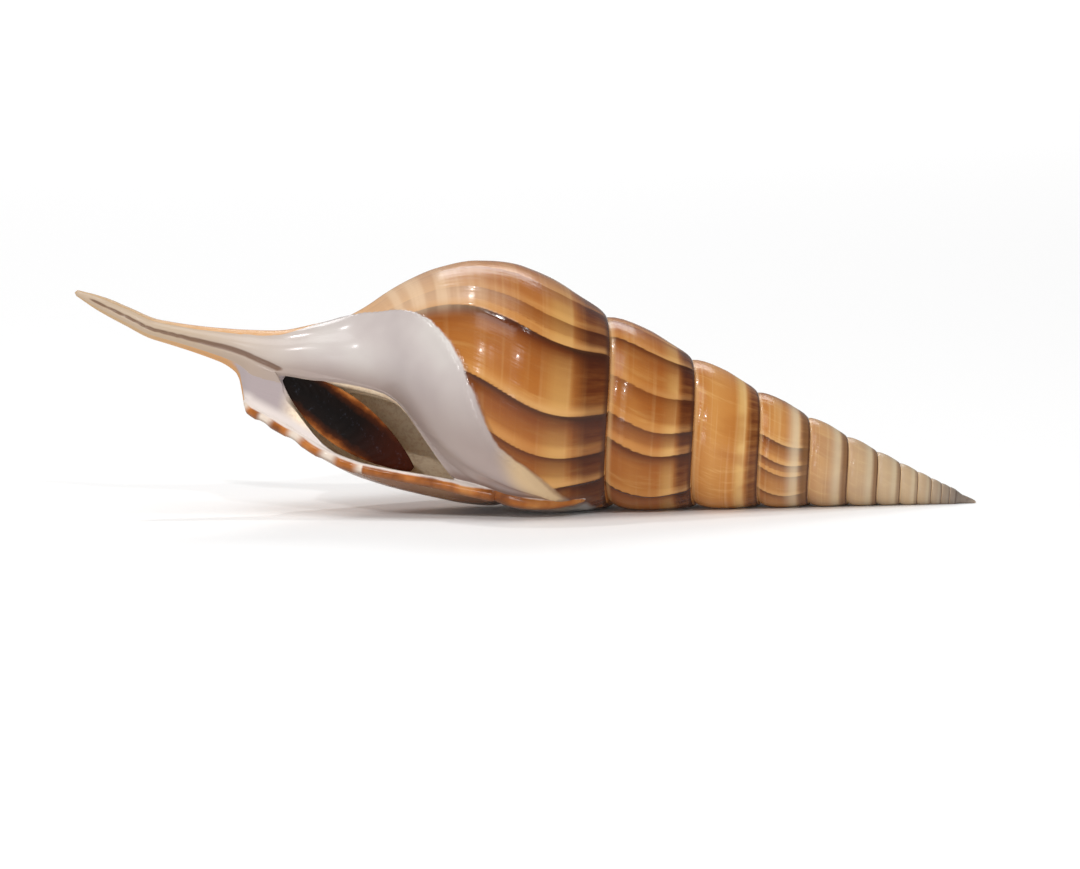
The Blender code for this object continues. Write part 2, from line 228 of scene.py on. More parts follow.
def suture_factor(s, angle):
    """Draws a whorl in at its two sutures."""
    share = across(s, angle)
    rear = np.clip(1.0 - share / 0.3, 0.0, 1.0)
    front = np.clip(1.0 - (1.0 - share) / 0.1, 0.0, 1.0) * soft_step((FIRST_ANGLE - angle) / 25.0)
    lip = soft_step((LIP_ANGLE + 8.0 - angle) / 25.0)
    front = np.where(share < 1.01, front, 0.0)
    return 1.0 - SUTURE_DEPTH * lip * (0.35 * rear + 0.8 * rear ** 6) - SUTURE_DEPTH * front ** 2


def skin_radius(s, angle):
    """Outside radius anywhere: the open skin, and a flat lid over the mouth that the chamber then cuts."""
    skin = whorl_radius(s, angle) * suture_factor(s, angle)
    skin = skin + callus_height(s, angle) + ridge_height(s, angle)
    lip = lip_edge(s)
    inner = mouth_edge(s)
    edge = whorl_radius(s, lip) * np.exp(1j * np.radians(lip - 360.0))
    wall = (whorl_radius(s, inner) + callus_height(s, inner)) * np.exp(1j * np.radians(inner))
    ray = np.exp(1j * np.radians(angle))
    span = wall - edge
    lid = (edge * span.conj()).imag / np.where(angle < inner, (ray * span.conj()).imag, 1.0)
    return np.where((angle < inner) & (s >= suture(LIP_ANGLE) - 0.01), lid, skin)


# Ridge of callus beside the rim, and the canal along the rostrum: distance, angle, height and half width
CALLUS_RIDGE = (
    (62.8, -59.5, 0.4, 0.6), (66.0, -53.5, 0.9, 1.0), (70.5, -48.0, 1.15, 1.3), (75.5, -44.0, 1.25, 1.5),
    (80.5, -42.0, 1.0, 1.7), (85.0, -41.0, 0.6, 1.9), (90.0, -39.0, 0.1, 2.0),
)
CANAL = (
    (115.0, -31.0, -0.3, 0.5), (117.6, -20.0, -0.45, 0.6), (121.5, -7.5, -0.5, 0.6),
    (125.0, -4.0, -0.5, 0.6), (130.0, -5.0, -0.42, 0.5), (136.0, -5.0, -0.36, 0.42),
    (142.0, -2.0, -0.3, 0.36), (147.5, 0.0, -0.2, 0.3),
)
PATH_PLACES = 90


def spaced_along(rows, count):
    """The rows of a path drawn out to evenly spaced places, column by column."""
    knots = np.arange(len(rows))
    places = np.linspace(0, len(rows) - 1, count)
    return [smooth_line(np.column_stack((knots, column)))(places) for column in np.array(rows).T]


def relief_along(path, s, angle, radius):
    """Height of a rounded ridge, or depth of a groove, that runs along a path over the skin."""
    path_s, path_angle, path_height, path_width = spaced_along(path, PATH_PLACES)
    height = np.zeros_like(s)
    near = (s > path_s.min() - 4.0) & (s < path_s.max() + 4.0) & (abs(angle - path_angle.mean()) < 60.0)
    gap_s = s[near][:, None] - path_s
    gap_turn = np.radians(angle[near][:, None] - path_angle) * radius[near][:, None]
    gaps = np.hypot(gap_s, gap_turn)
    nearest = gaps.argmin(axis=1)
    gap = gaps.min(axis=1) / path_width[nearest]
    height[near] = path_height[nearest] * np.exp(-gap ** 2)
    return height


def relief_radius(s, angle):
    """Outside radius with the ridge of callus and the canal."""
    radius = skin_radius(s, angle)
    radius = radius + relief_along(CALLUS_RIDGE, s, angle, radius)
    return radius + relief_along(CANAL, s, angle, radius)


# The mesh follows lines of growth: it is finest on the side that the mouth faces, where the ridges are.
# Beside the lip its columns are pulled along the lip's edge.
FINE_END = 66.0
TURNS = np.concatenate((
    np.arange(FIRST_ANGLE, FINE_END, 0.85),
    np.arange(FINE_END, LIP_ANGLE - 1.5, 2.3),
))
PULL_ANGLE = 45.0
LARGE_ROWS = (0.0, 0.02, 0.05, 0.1, 0.18, 0.27, 0.37, 0.48, 0.59, 0.7, 0.8, 0.88, 0.94, 0.985)
SMALL_ROWS = (0.0, 0.04, 0.14, 0.32, 0.54, 0.76, 0.92, 0.985)
LARGE_WHORLS = 5
BODY_ROWS = np.concatenate(([0.0, 0.003, 0.008, 0.015, 0.024, 0.034], np.linspace(0.046, 1.0, 112)))


def grown_rows(turn):
    """Distances and angles of growth of the mesh's rows at one angle round the axis."""
    rows = []
    for whorl in range(-SPIRE_WHORLS, 0):
        shares = LARGE_ROWS if whorl >= -LARGE_WHORLS else SMALL_ROWS
        grown = turn + 360.0 * whorl
        rows += [(suture(grown + 360.0 * share), grown) for share in shares]
    start = suture(turn)
    pull = max(0.0, 1.0 - min(LIP_ANGLE - turn, turn - FIRST_ANGLE) / PULL_ANGLE)
    for share in BODY_ROWS:
        s = start + (LENGTH - start) * share
        rows.append((s, turn + (lip_edge(s) - LIP_ANGLE) * pull))
    return np.array(rows)


def new_object(name, bm):
    """An object of triangles from a bmesh, with doubles merged and faces that point out."""
    bmesh.ops.remove_doubles(bm, verts=bm.verts, dist=1e-7)
    bmesh.ops.triangulate(bm, faces=bm.faces)
    bmesh.ops.recalc_face_normals(bm, faces=bm.faces)
    if bm.calc_volume(signed=True) < 0.0:
        bmesh.ops.reverse_faces(bm, faces=bm.faces)
    mesh = bpy.data.meshes.new(name)
    bm.to_mesh(mesh)
    bm.free()
    made = bpy.data.objects.new(name, mesh)
    bpy.context.scene.collection.objects.link(made)
    return made


def join_at_lip(bm, left, right):
    """Triangles between the last column and the first, whose points don't pair up."""
    i = j = 0
    while i < len(left) - 1 or j < len(right) - 1:
        go_left = j == len(right) - 1 or (i < len(left) - 1 and left[i + 1][0] <= right[j + 1][0])
        ahead = left[i + 1][1] if go_left else right[j + 1][1]
        bm.faces.new((left[i][1], right[j][1], ahead))
        i, j = (i + 1, j) if go_left else (i, j + 1)


def outer_skin():
    """The outside as columns of points from the apex to the rostrum's end, joined across."""
    bm = bmesh.new()
    tip = bm.verts.new(place(0.0, 0.0, 0.0))
    end = bm.verts.new(place(LENGTH + ROUNDED_END, 0.0, 0.0))
    tip_s, tip_radius = np.array(TIP).T
    columns = []
    for turn in TURNS:
        s, angle = grown_rows(turn).T
        points = place(s, angle, relief_radius(s, angle))
        points = np.concatenate((place(tip_s, turn, tip_radius), points))
        distances = np.concatenate((tip_s, s))
        columns.append([(d, bm.verts.new(p)) for d, p in zip(distances, points)])
    for left, right in zip(columns, columns[1:]):
        for k in range(len(left) - 1):
            bm.faces.new((left[k][1], right[k][1], right[k + 1][1], left[k + 1][1]))
        bm.faces.new((tip, right[0][1], left[0][1]))
        bm.faces.new((end, left[-1][1], right[-1][1]))
    left, right = columns[-1], columns[0]
    join_at_lip(bm, left, right)
    bm.faces.new((tip, right[0][1], left[0][1]))
    bm.faces.new((end, left[-1][1], right[-1][1]))
    return new_object("tibia_shell", bm)


def loft(name, rings):
    """A closed solid between rings of points."""
    bm = bmesh.new()
    made = [[bm.verts.new(p) for p in ring] for ring in rings]
    for before, after in zip(made, made[1:]):
        for k in range(len(before)):
            n = (k + 1) % len(before)
            bm.faces.new((before[k], before[n], after[n], after[k]))
    bm.faces.new(made[0])
    bm.faces.new(made[-1][::-1])
    return new_object(name, bm)


# The hollow: where it starts and ends, how its front slants and how it widens past the lip
CHAMBER_START = -240.0
CHAMBER_END = 337.0
CHAMBER_REAR = 1.08
CHAMBER_POINTS = 25
MOUTH_FRONT = 116.4
MOUTH_CORNER = 332.0
MOUTH_SLANT = 0.08
MOUTH_FLARE = 288.0
FLARE_RATE = 0.22
COLUMN_GAP = 0.62


def chamber_ring(angle):
    """Section of the hollow at an angle, between the whorl's wall and the whorl inside it."""
    rear = suture(angle) * CHAMBER_REAR
    drawn_back = MOUTH_SLANT * min(max(MOUTH_CORNER - angle, 0.0), 50.0)
    front = (MOUTH_FRONT - drawn_back) * WHORL_GROWTH ** (min(angle - LIP_ANGLE, 0.0) / 360.0)
    past_lip = max(0.0, angle - MOUTH_FLARE)
    share = 0.5 - 0.5 * np.cos(np.linspace(0.0, math.pi, CHAMBER_POINTS))
    s = rear + (front - rear) * share
    away = whorl_radius(s, min(angle, LIP_ANGLE)) - WALL + FLARE_RATE * past_lip
    column = whorl_radius(s, angle - 360.0) + COLUMN_GAP * soft_step(past_lip / 25.0)
    close = np.minimum(column, away - 0.3)
    half = (away - close) / 2.0 * (1.0 - abs(2.0 * share - 1.0) ** 4 * 0.93)
    inwards = soft_step(2.0 * share - 1.0) * soft_step(past_lip / 20.0)
    centre = (away + close) / 2.0 * (1.0 - inwards) + (close + half) * inwards
    return np.concatenate((place(s, angle, centre + half), place(s, angle, centre - half)[::-1]))


# Rolled rim of the lip, on to the spur: distance, angle, height over the skin, radius
RIM = (
    (119.2, 277.5, -0.55, 0.6), (116.5, 278.5, -0.5, 0.75), (112.0, 280.5, -0.45, 0.8),
    (107.0, 283.0, -0.45, 0.85), (102.0, 287.0, -0.45, 0.9), (97.0, 291.0, -0.45, 0.95),
    (91.0, 295.0, -0.45, 1.0), (85.0, 297.0, -0.4, 1.1), (79.0, 298.0, -0.1, 1.25),
    (74.5, 298.5, 0.35, 1.35), (70.0, 299.0, 0.55, 1.25), (66.0, 299.0, 0.45, 1.0), (62.6, 298.0, 0.1, 0.6),
)

# Each tooth's distance and half width
LIP_TEETH = ((117.6, 1.2), (112.8, 1.9), (107.1, 2.2), (100.9, 2.1))
TOOTH_HEIGHT = 0.28
RIM_SIDES = 18
RIM_RINGS = 220


def tooth_share(s):
    """1 on a tooth of the lip and 0 between the teeth."""
    share = np.zeros_like(s)
    for centre, half in LIP_TEETH:
        share = np.maximum(share, soft_step(1.6 - abs(s - centre) / half * 1.25))
    return share


def rim_line():
    """Distances, centres and radii along the rim."""
    s, angle, height, radius = spaced_along(RIM, RIM_RINGS)
    on_lip = whorl_radius(s, np.minimum(angle, lip_edge(s)))
    on_spire = whorl_radius(s, angle - 360.0)
    skin = np.where(s > suture(LIP_ANGLE), on_lip, on_spire)
    bump = TOOTH_HEIGHT * tooth_share(s)
    return s, place(s, angle, skin + height + 0.4 * bump), radius + 0.6 * bump


def rolled_lip_tree():
    """Geometry nodes that roll a round edge along a line of points, as thick as each point says."""
    tree = bpy.data.node_groups.new("rolled_lip", "GeometryNodeTree")
    tree.interface.new_socket("Line", in_out="INPUT", socket_type="NodeSocketGeometry")
    tree.interface.new_socket("Sides", in_out="INPUT", socket_type="NodeSocketInt")
    tree.interface.new_socket("Material", in_out="INPUT", socket_type="NodeSocketMaterial")
    tree.interface.new_socket("Rim", in_out="OUTPUT", socket_type="NodeSocketGeometry")
    given = tree.nodes.new("NodeGroupInput")
    made = tree.nodes.new("NodeGroupOutput")
    curve = tree.nodes.new("GeometryNodeMeshToCurve")
    section = tree.nodes.new("GeometryNodeCurvePrimitiveCircle")
    section.inputs["Radius"].default_value = 1.0
    thickness = tree.nodes.new("GeometryNodeInputNamedAttribute")
    thickness.data_type = "FLOAT"
    thickness.inputs["Name"].default_value = "thickness"
    roll = tree.nodes.new("GeometryNodeCurveToMesh")
    roll.inputs["Fill Caps"].default_value = True
    realize = tree.nodes.new("GeometryNodeRealizeInstances")
    finish = tree.nodes.new("GeometryNodeSetMaterial")
    tree.links.new(given.outputs["Line"], curve.inputs["Mesh"])
    tree.links.new(given.outputs["Sides"], section.inputs["Resolution"])
    tree.links.new(curve.outputs["Curve"], roll.inputs["Curve"])
    tree.links.new(section.outputs["Curve"], roll.inputs["Profile Curve"])
    tree.links.new(thickness.outputs["Attribute"], roll.inputs["Scale"])
    tree.links.new(roll.outputs["Mesh"], realize.inputs["Geometry"])
    tree.links.new(realize.outputs["Geometry"], finish.inputs["Geometry"])
    tree.links.new(given.outputs["Material"], finish.inputs["Material"])
    tree.links.new(finish.outputs["Geometry"], made.inputs["Rim"])
    return tree


def plain_mesh(piece):
    """Turn what a piece's modifiers give into its own mesh, and remove them."""
    graph = bpy.context.evaluated_depsgraph_get()
    mesh = bpy.data.meshes.new_from_object(piece.evaluated_get(graph))
    piece.modifiers.clear()
    piece.data = mesh


def add_attribute(mesh, name, values):
    """Store one number for each vertex under a name."""
    layer = mesh.attributes.new(name, "FLOAT", "POINT")
    layer.data.foreach_set("value", values.astype(np.float32))


def rim(material):
    """The rolled rim: a line of points with their thickness, swept by the nodes."""
    _, centres, radii = rim_line()
    mesh = bpy.data.meshes.new("rim_line")
    mesh.from_pydata(centres.tolist(), [(k, k + 1) for k in range(RIM_RINGS - 1)], [])
    ends = np.minimum(np.arange(RIM_RINGS), np.arange(RIM_RINGS)[::-1])
    add_attribute(mesh, "thickness", radii * MM * np.minimum(1.0, 0.45 + 0.12 * ends))
    piece = bpy.data.objects.new("rim", mesh)
    bpy.context.scene.collection.objects.link(piece)
    tree = rolled_lip_tree()
    nodes = piece.modifiers.new("rolled_lip", "NODES")
    nodes.node_group = tree
    sockets = {item.name: item.identifier for item in tree.interface.items_tree}
    nodes[sockets["Sides"]] = RIM_SIDES
    nodes[sockets["Material"]] = material
    plain_mesh(piece)
    bm = bmesh.new()
    bm.from_mesh(piece.data)
    bpy.data.objects.remove(piece)
    return new_object("rim", bm)


def combine(target, tool, operation):
    """Cut a tool from a piece, or join it on, and leave a plain mesh."""
    change = target.modifiers.new(operation, "BOOLEAN")
    change.operation = operation
    change.solver = "MANIFOLD"
    change.object = tool
    plain_mesh(target)
    bpy.data.objects.remove(tool)


shell = outer_skin()
chamber_angles = np.concatenate((
    np.arange(CHAMBER_START, 276.0, 7.5),
    np.arange(279.0, CHAMBER_END, 3.0),
))
combine(shell, loft("chamber", [chamber_ring(a) for a in chamber_angles]), "DIFFERENCE")
grown_shell = bpy.data.materials.new("grown_shell")
combine(shell, rim(grown_shell), "UNION")


def vertex_places(mesh):
    """The places of a mesh's vertices, one row each."""
    points = np.empty(len(mesh.vertices) * 3, np.float32)
    mesh.vertices.foreach_get("co", points)
    return points.reshape(-1, 3).astype(float)


RIM_REACH = 0.006
POINTS_AT_ONCE = 4000


def nearest_on_line(points, line):
    """Distance from each point to the nearest of a line's points, and which that is."""
    gaps = np.full(len(points), 1.0)
    which = np.zeros(len(points), int)
    low, high = line.min(axis=0) - RIM_REACH, line.max(axis=0) + RIM_REACH
    near = np.where(((points > low) & (points < high)).all(axis=1))[0]
    for part in np.array_split(near, max(1, len(near) // POINTS_AT_ONCE)):
        apart = np.linalg.norm(points[part][:, None] - line, axis=2)
        which[part] = apart.argmin(axis=1)
        gaps[part] = apart.min(axis=1)
    return gaps, which


rim_s, rim_centres, rim_radii = rim_line()
SOFT_REACH = 0.45


def soften_lip(mesh, rounds):
    """Blend the rim into the wall on both sides, as the glaze does."""
    gaps, which = nearest_on_line(vertex_places(mesh), rim_centres)
    near = gaps < (rim_radii[which] + SOFT_REACH) * MM
    bm = bmesh.new()
    bm.from_mesh(mesh)
    bm.verts.ensure_lookup_table()
    chosen = [bm.verts[k] for k in np.where(near)[0]]
    for _ in range(rounds):
        bmesh.ops.smooth_vert(bm, verts=chosen, factor=0.5, use_axis_x=True, use_axis_y=True, use_axis_z=True)
    bm.to_mesh(mesh)
    bm.free()


soften_lip(shell.data, rounds=3)


def flatten_rest(mesh):
    """Wear the underside down to the level that the shell rests on."""
    points = vertex_places(mesh)
    points[:, 2] = np.maximum(points[:, 2], FLAT_LEVEL * MM)
    mesh.vertices.foreach_set("co", points.astype(np.float32).ravel())
    mesh.update()


flatten_rest(shell.data)


SUTURE_MARGIN = 0.0075


def grown_place(points):
    """Distance, angle of growth and radius of points in the last whorl's terms, and how far across."""
    local = points / MM - APEX
    s = local @ ALONG
    up = local @ UP - middle_height(s)
    front = local @ FRONT
    turn = np.degrees(np.arctan2(up, front))
    lowest = np.where(s > suture(LIP_ANGLE), (lip_edge(s) - 360.0 + mouth_edge(s)) / 2.0, FIRST_ANGLE)
    turn = np.where(turn < lowest, turn + 360.0, turn)
    passed = np.log(np.maximum(s, 0.4) / LAST_SUTURE) / math.log(WHORL_GROWTH) - turn / 360.0
    whorl = np.minimum(np.floor(passed + SUTURE_MARGIN), 0.0)
    return s, turn + 360.0 * whorl, np.hypot(up, front), np.maximum(passed - whorl, 0.0)


# How far a ridge's painted shadow runs under its crest, how fast it fades, and, by degrees past the nearest
# ridge, how far a place counts as its older side: above 0.1 it does
RIDGE_OVERLAP = 2.6
DARK_FADE = 4.2
WIDE_POWER = 0.27
OLDER_SIDE = ((-3.0, 3.0), (0.0, 0.0), (0.6, -0.6), (3.2, -0.6), (8.5, 0.15))


def ridge_marks(grown):
    """How strongly each place has a ridge's painted shadow line, painted brown shade, painted highlight on
    its crest, and older side.
    """
    close, wide, pale = np.zeros((3, len(grown)))
    nearest = np.full(len(grown), 60.0)
    for ridge, strength in RIDGES:
        past = grown - ridge
        # Painted light: a shadow line and a brown shade that fades on each ridge's older side, and a
        # highlight on its crest
        older = np.where(past < RIDGE_OVERLAP, np.exp(np.minimum(past, 0.0) / DARK_FADE), 0.0)
        close = np.maximum(close, strength * older)
        wide = np.maximum(wide, (0.3 + 0.7 * strength) * older ** WIDE_POWER)
        crest = 0.75 * np.exp(-((past - 1.8) / 1.8) ** 2) + 0.5 * np.exp(-((past - 4.0) / 5.5) ** 2)
        pale = np.maximum(pale, strength * crest)
        nearest = np.where(abs(past) < abs(nearest), past, nearest)
    return close, wide, pale, np.interp(nearest, *zip(*OLDER_SIDE))


# The callus ends over the top of the whorl at one angle, and lower along the rostrum
CALLUS_TOP = 92.0
CALLUS_DROP = 44.0
CALLUS_DROP_FROM = 107.0
TEETH_FROM = 98.0


def mark_shell(mesh):
    """Store where each vertex is in the shell's growth, for the material to follow."""
    points = vertex_places(mesh)
    s, angle, radius, share = grown_place(points)
    grown = growth_line(s, angle)
    close, wide, pale, older_side = ridge_marks(grown)
    limit = CALLUS_TOP - CALLUS_DROP * soft_step((s - CALLUS_DROP_FROM) / 12.0)
    past_edge = np.minimum(s - callus_edge(angle), (limit - angle) * 0.16)
    canal_bed = [(distance, turn, 1.0, half_width) for distance, turn, _, half_width in CANAL]
    gaps, which = nearest_on_line(points, rim_centres)
    marks = {
        "across": share,
        "growth": grown / 360.0,
        "turn": angle,
        "distance": s,
        # Painted shadow, painted shade and painted highlight of the growth ridges
        "ridge_painted_shadow": close,
        "ridge_painted_shade": wide,
        "ridge_painted_highlight": pale,
        "older_side": older_side,
        "callus": np.where(angle < -90.0, -5.0, past_edge),
        "depth": skin_radius(s, angle) - radius,
        "canal": relief_along(canal_bed, s, angle, radius),
        "rim": gaps / MM - rim_radii[which],
        "glaze": ((points - rim_centres[which]) @ UP) / (rim_radii[which] * MM),
        "tooth": np.where(rim_s[which] > TEETH_FROM, tooth_share(rim_s[which]), 1.0),
    }
    for name, values in marks.items():
        add_attribute(mesh, name, values)


mark_shell(shell.data)
shell.data.shade_smooth()
SHARP_ANGLE = math.radians(55.0)
shell.data.set_sharp_from_angle(angle=SHARP_ANGLE)


def tone(red, green, blue):
    """A colour as the eye reads it, 0 to 255, in linear values."""
    parts = [value / 255.0 for value in (red, green, blue)]
    return (*[p / 12.92 if p <= 0.04045 else ((p + 0.055) / 1.055) ** 2.4 for p in parts], 1.0)


class Nodes:
    """Short ways to add nodes to one tree."""

    def __init__(self, tree):
        self.tree = tree

    def add(self, kind, **settings):
        node = self.tree.nodes.new(kind)
        for name, value in settings.items():
            setattr(node, name, value)
        return node

    def put(self, socket, value):
        if isinstance(value, bpy.types.NodeSocket):
            self.tree.links.new(value, socket)
        else:
            socket.default_value = value

    def sum(self, operation, *values, clamp=False):
        node = self.add("ShaderNodeMath", operation=operation, use_clamp=clamp)
        for socket, value in zip(node.inputs, values):
            self.put(socket, value)
        return node.outputs[0]

    def read(self, name):
        return self.add("ShaderNodeAttribute", attribute_name=name).outputs["Fac"]

    def fit(self, value, low, high, to_low=0.0, to_high=1.0):
        node = self.add("ShaderNodeMapRange", interpolation_type="SMOOTHSTEP")
        for socket, item in zip(node.inputs, (value, low, high, to_low, to_high)):
            self.put(socket, item)
        return node.outputs[0]

    def ramp(self, value, stops):
        node = self.add("ShaderNodeValToRGB")
        line = node.color_ramp
        line.elements[0].position, line.elements[0].color = stops[0]
        line.elements[1].position, line.elements[1].color = stops[-1]
        for position, colour in stops[1:-1]:
            line.elements.new(position).color = colour
        self.put(node.inputs[0], value)
        return node.outputs[0]

    def mix(self, share, first, second, blend="MIX"):
        node = self.add("ShaderNodeMix", data_type="RGBA", blend_type=blend, clamp_factor=True)
        self.put(node.inputs["Factor"], share)
        self.put(node.inputs[6], first)
        self.put(node.inputs[7], second)
        return node.outputs[2]

    def vector(self, x, y, z):
        node = self.add("ShaderNodeCombineXYZ")
        for socket, value in zip(node.inputs, (x, y, z)):
            self.put(socket, value)
        return node.outputs[0]

    def noise(self, vector, scale, detail=3.0, roughness=0.55):
        node = self.add("ShaderNodeTexNoise")
        self.put(node.inputs["Vector"], vector)
        node.inputs["Scale"].default_value = scale
        node.inputs["Detail"].default_value = detail
        node.inputs["Roughness"].default_value = roughness
        return node.outputs["Fac"]

    def bump(self, shader, height, strength, distance):
        node = self.add("ShaderNodeBump")
        node.inputs["Strength"].default_value = strength
        node.inputs["Distance"].default_value = distance
        self.put(node.inputs["Height"], height)
        self.put(shader.inputs["Normal"], node.outputs["Normal"])


class GrowthMarks:
    """What the mesh stores of the shell's growth, and the streaks and lines that follow it."""

    def __init__(self, n):
        self.place = n.add("ShaderNodeTexCoord").outputs["Object"]
        self.share = n.read("across")
        self.growth = n.read("growth")
        self.distance = n.read("distance")
        self.turn = n.read("turn")
        self.rim = n.read("rim")
        self.callus = n.read("callus")
        self.last = n.sum("GREATER_THAN", self.growth, FIRST_ANGLE / 360.0)
        self.cloud = n.noise(self.place, 160.0, 3.0, 0.55)
        self.streaks = self.grown_noise(n, 55.0, 1.1, 0.0, 5.0, 0.62)
        self.broad = self.grown_noise(n, 13.0, 0.8, 3.7, 2.0, 0.5)
        self.lines = self.grown_noise(n, 2.0, 15.0, 8.1, 2.0, 0.5)
        self.fine = self.grown_noise(n, 190.0, 2.5, 1.3, 3.0, 0.6)
        band = n.sum("MULTIPLY", self.share, n.sum("SUBTRACT", 1.0, n.sum("MULTIPLY", self.last, 0.36)))
        self.band = n.sum("ADD", band, n.sum("MULTIPLY", n.sum("SUBTRACT", self.lines, 0.5), 0.05))
        uneven = n.sum("MULTIPLY", n.sum("SUBTRACT", self.cloud, 0.5), 3.2)
        self.ragged_callus = n.sum("ADD", self.callus, uneven)

    def grown_noise(self, n, along_growth, over_whorl, shift, detail, roughness):
        """Noise drawn out with the growth lines, or round with the spiral."""
        x = n.sum("MULTIPLY", self.growth, along_growth)
        y = n.sum("MULTIPLY", self.share, over_whorl)
        return n.noise(n.vector(x, y, shift), 1.0, detail, roughness)


def banded_colour(n, marks):
    """Spiral bands: brown under the suture, then a golden band, then orange tan, with streaks."""
    bands = n.ramp(n.sum("MULTIPLY", marks.band, 0.5), [
        (0.0, tone(196, 134, 72)), (0.1, tone(190, 126, 62)), (0.13, tone(216, 172, 108)),
        (0.16, tone(212, 166, 100)), (0.21, tone(190, 124, 58)), (0.36, tone(198, 138, 72)),
        (0.44, tone(184, 120, 56)), (0.6, tone(200, 140, 76)), (1.0, tone(208, 154, 96)),
    ])
    colour = n.mix(n.sum("MULTIPLY", n.fit(marks.streaks, 0.5, 0.7), 0.5), bands, tone(226, 180, 112))
    colour = n.mix(n.sum("MULTIPLY", n.fit(marks.broad, 0.48, 0.66), 0.5), colour, tone(164, 94, 36))
    return n.mix(n.sum("MULTIPLY", n.fit(marks.lines, 0.52, 0.7), 0.25), colour, tone(228, 192, 136))


SUTURE_SHADE = (0.24, 0.12, 0.06, 1.0)
YOUNG_WHORLS_SHADE = (0.88, 0.78, 0.64, 1.0)


def with_ridges(n, marks, colour):
    """Each growth ridge has a painted highlight on its crest, a painted shadow line on its older side, and a
    painted brown shade that fades from it.
    """
    older_side = n.fit(n.read("older_side"), -0.5, 0.1)
    uneven = n.sum("MULTIPLY", n.fit(marks.streaks, 0.25, 0.65, 0.75, 1.15), older_side)
    # Painted brown shade on the older side of each ridge
    wide = n.sum("MULTIPLY", n.read("ridge_painted_shade"), uneven, clamp=True)
    colour = n.mix(wide, colour, tone(134, 64, 16))
    under_suture = n.fit(marks.band, 0.25, 0.12)
    under_suture = n.sum("MULTIPLY", under_suture, n.fit(marks.streaks, 0.35, 0.6, 1.0, 0.72))
    colour = n.mix(under_suture, colour, SUTURE_SHADE, "MULTIPLY")
    # Near black where the painted ridge shade lies on the shell's dark band under the suture
    darkest = n.sum("MULTIPLY", n.sum("MULTIPLY", wide, under_suture), 0.75)
    colour = n.mix(darkest, colour, tone(58, 22, 6))
    # Painted shadow line just under each ridge, stronger near the suture
    close = n.sum("MULTIPLY", n.read("ridge_painted_shadow"), n.fit(marks.band, 0.35, 0.1, 1.0, 1.5), clamp=True)
    close = n.sum("MULTIPLY", close, older_side)
    colour = n.mix(close, colour, tone(56, 20, 4))
    # Painted highlight along each ridge's crest
    pale = n.sum("MULTIPLY", n.read("ridge_painted_highlight"), n.fit(marks.broad, 0.35, 0.6, 0.35, 1.0))
    pale = n.sum("MULTIPLY", pale, n.fit(marks.band, 0.75, 0.3, 0.4, 0.85))
    pale = n.sum("MULTIPLY", pale, n.fit(marks.band, 0.1, 0.26, 0.45, 1.0))
    pale = n.sum("MULTIPLY", pale, n.sum("SUBTRACT", 1.0, n.sum("MULTIPLY", older_side, 0.85)))
    colour = n.mix(pale, colour, tone(226, 182, 124))
    return n.mix(n.fit(marks.distance, 44.0, 54.0), colour, YOUNG_WHORLS_SHADE, "MULTIPLY")


def with_spire(n, marks, colour):
    """The spire grows paler towards the apex, which is grey, with a painted shadow line on one side of each
    suture and a pale line on the other.
    """
    cream = n.sum("MULTIPLY", n.fit(marks.band, 0.55, 0.3), n.fit(marks.band, 0.16, 0.3))
    cream = n.sum("MULTIPLY", cream, n.fit(marks.distance, 39.0, 33.0, 0.0, 0.6))
    colour = n.mix(cream, colour, tone(222, 202, 172))
    colour = n.mix(n.fit(marks.distance, 38.0, 14.0, 0.0, 0.75), colour, tone(186, 168, 140))
    brown = n.sum("MULTIPLY", n.fit(marks.share, 0.24, 0.1), n.fit(marks.distance, 42.0, 30.0, 0.0, 0.75))
    brown = n.sum("MULTIPLY", brown, n.fit(marks.distance, 8.0, 18.0, 0.3, 1.0))
    colour = n.mix(brown, colour, tone(122, 78, 38))
    colour = n.mix(n.fit(marks.distance, 11.0, 2.5, 0.0, 0.85), colour, tone(112, 102, 96))
    # Painted shadow in each suture
    suture_painted_shadow = n.sum("MULTIPLY", n.fit(marks.share, 0.06, 0.01), n.fit(marks.distance, 100.0, 80.0))
    colour = n.mix(n.sum("MULTIPLY", suture_painted_shadow, 0.8), colour, tone(70, 34, 14))
    line_pale = n.sum("MULTIPLY", n.fit(marks.share, 0.92, 0.975), n.sum("SUBTRACT", 1.0, marks.last))
    return n.mix(n.sum("MULTIPLY", line_pale, 0.5), colour, tone(216, 178, 128))


def with_front(n, marks, colour):
    """Pale beside the callus, greyish brown outside the lip and darker there with painted shade on the
    underside, orange tan and then beige on the rostrum.
    """
    beside = n.sum("MULTIPLY", n.fit(marks.callus, -20.0, -4.0), n.fit(marks.turn, 34.0, 52.0))
    beside = n.sum("MULTIPLY", beside, n.fit(marks.lines, 0.35, 0.65, 0.6, 0.9))
    colour = n.mix(beside, colour, tone(222, 190, 156))
    # Greyish brown on the underside beside the lip, the shell's colour darkened with painted shade
    lip_side = n.sum("MULTIPLY", n.fit(marks.turn, 240.0, 285.0), n.fit(marks.distance, 62.0, 70.0))
    colour = n.mix(n.sum("MULTIPLY", lip_side, 0.85), colour, tone(124, 92, 72))
    rostrum = n.sum("MULTIPLY", n.fit(marks.distance, 98.0, 112.0), n.fit(marks.broad, 0.3, 0.7, 0.7, 0.9))
    colour = n.mix(rostrum, colour, tone(214, 158, 98))
    return n.mix(n.fit(marks.distance, 126.0, 142.0, 0.0, 0.8), colour, tone(188, 160, 124))


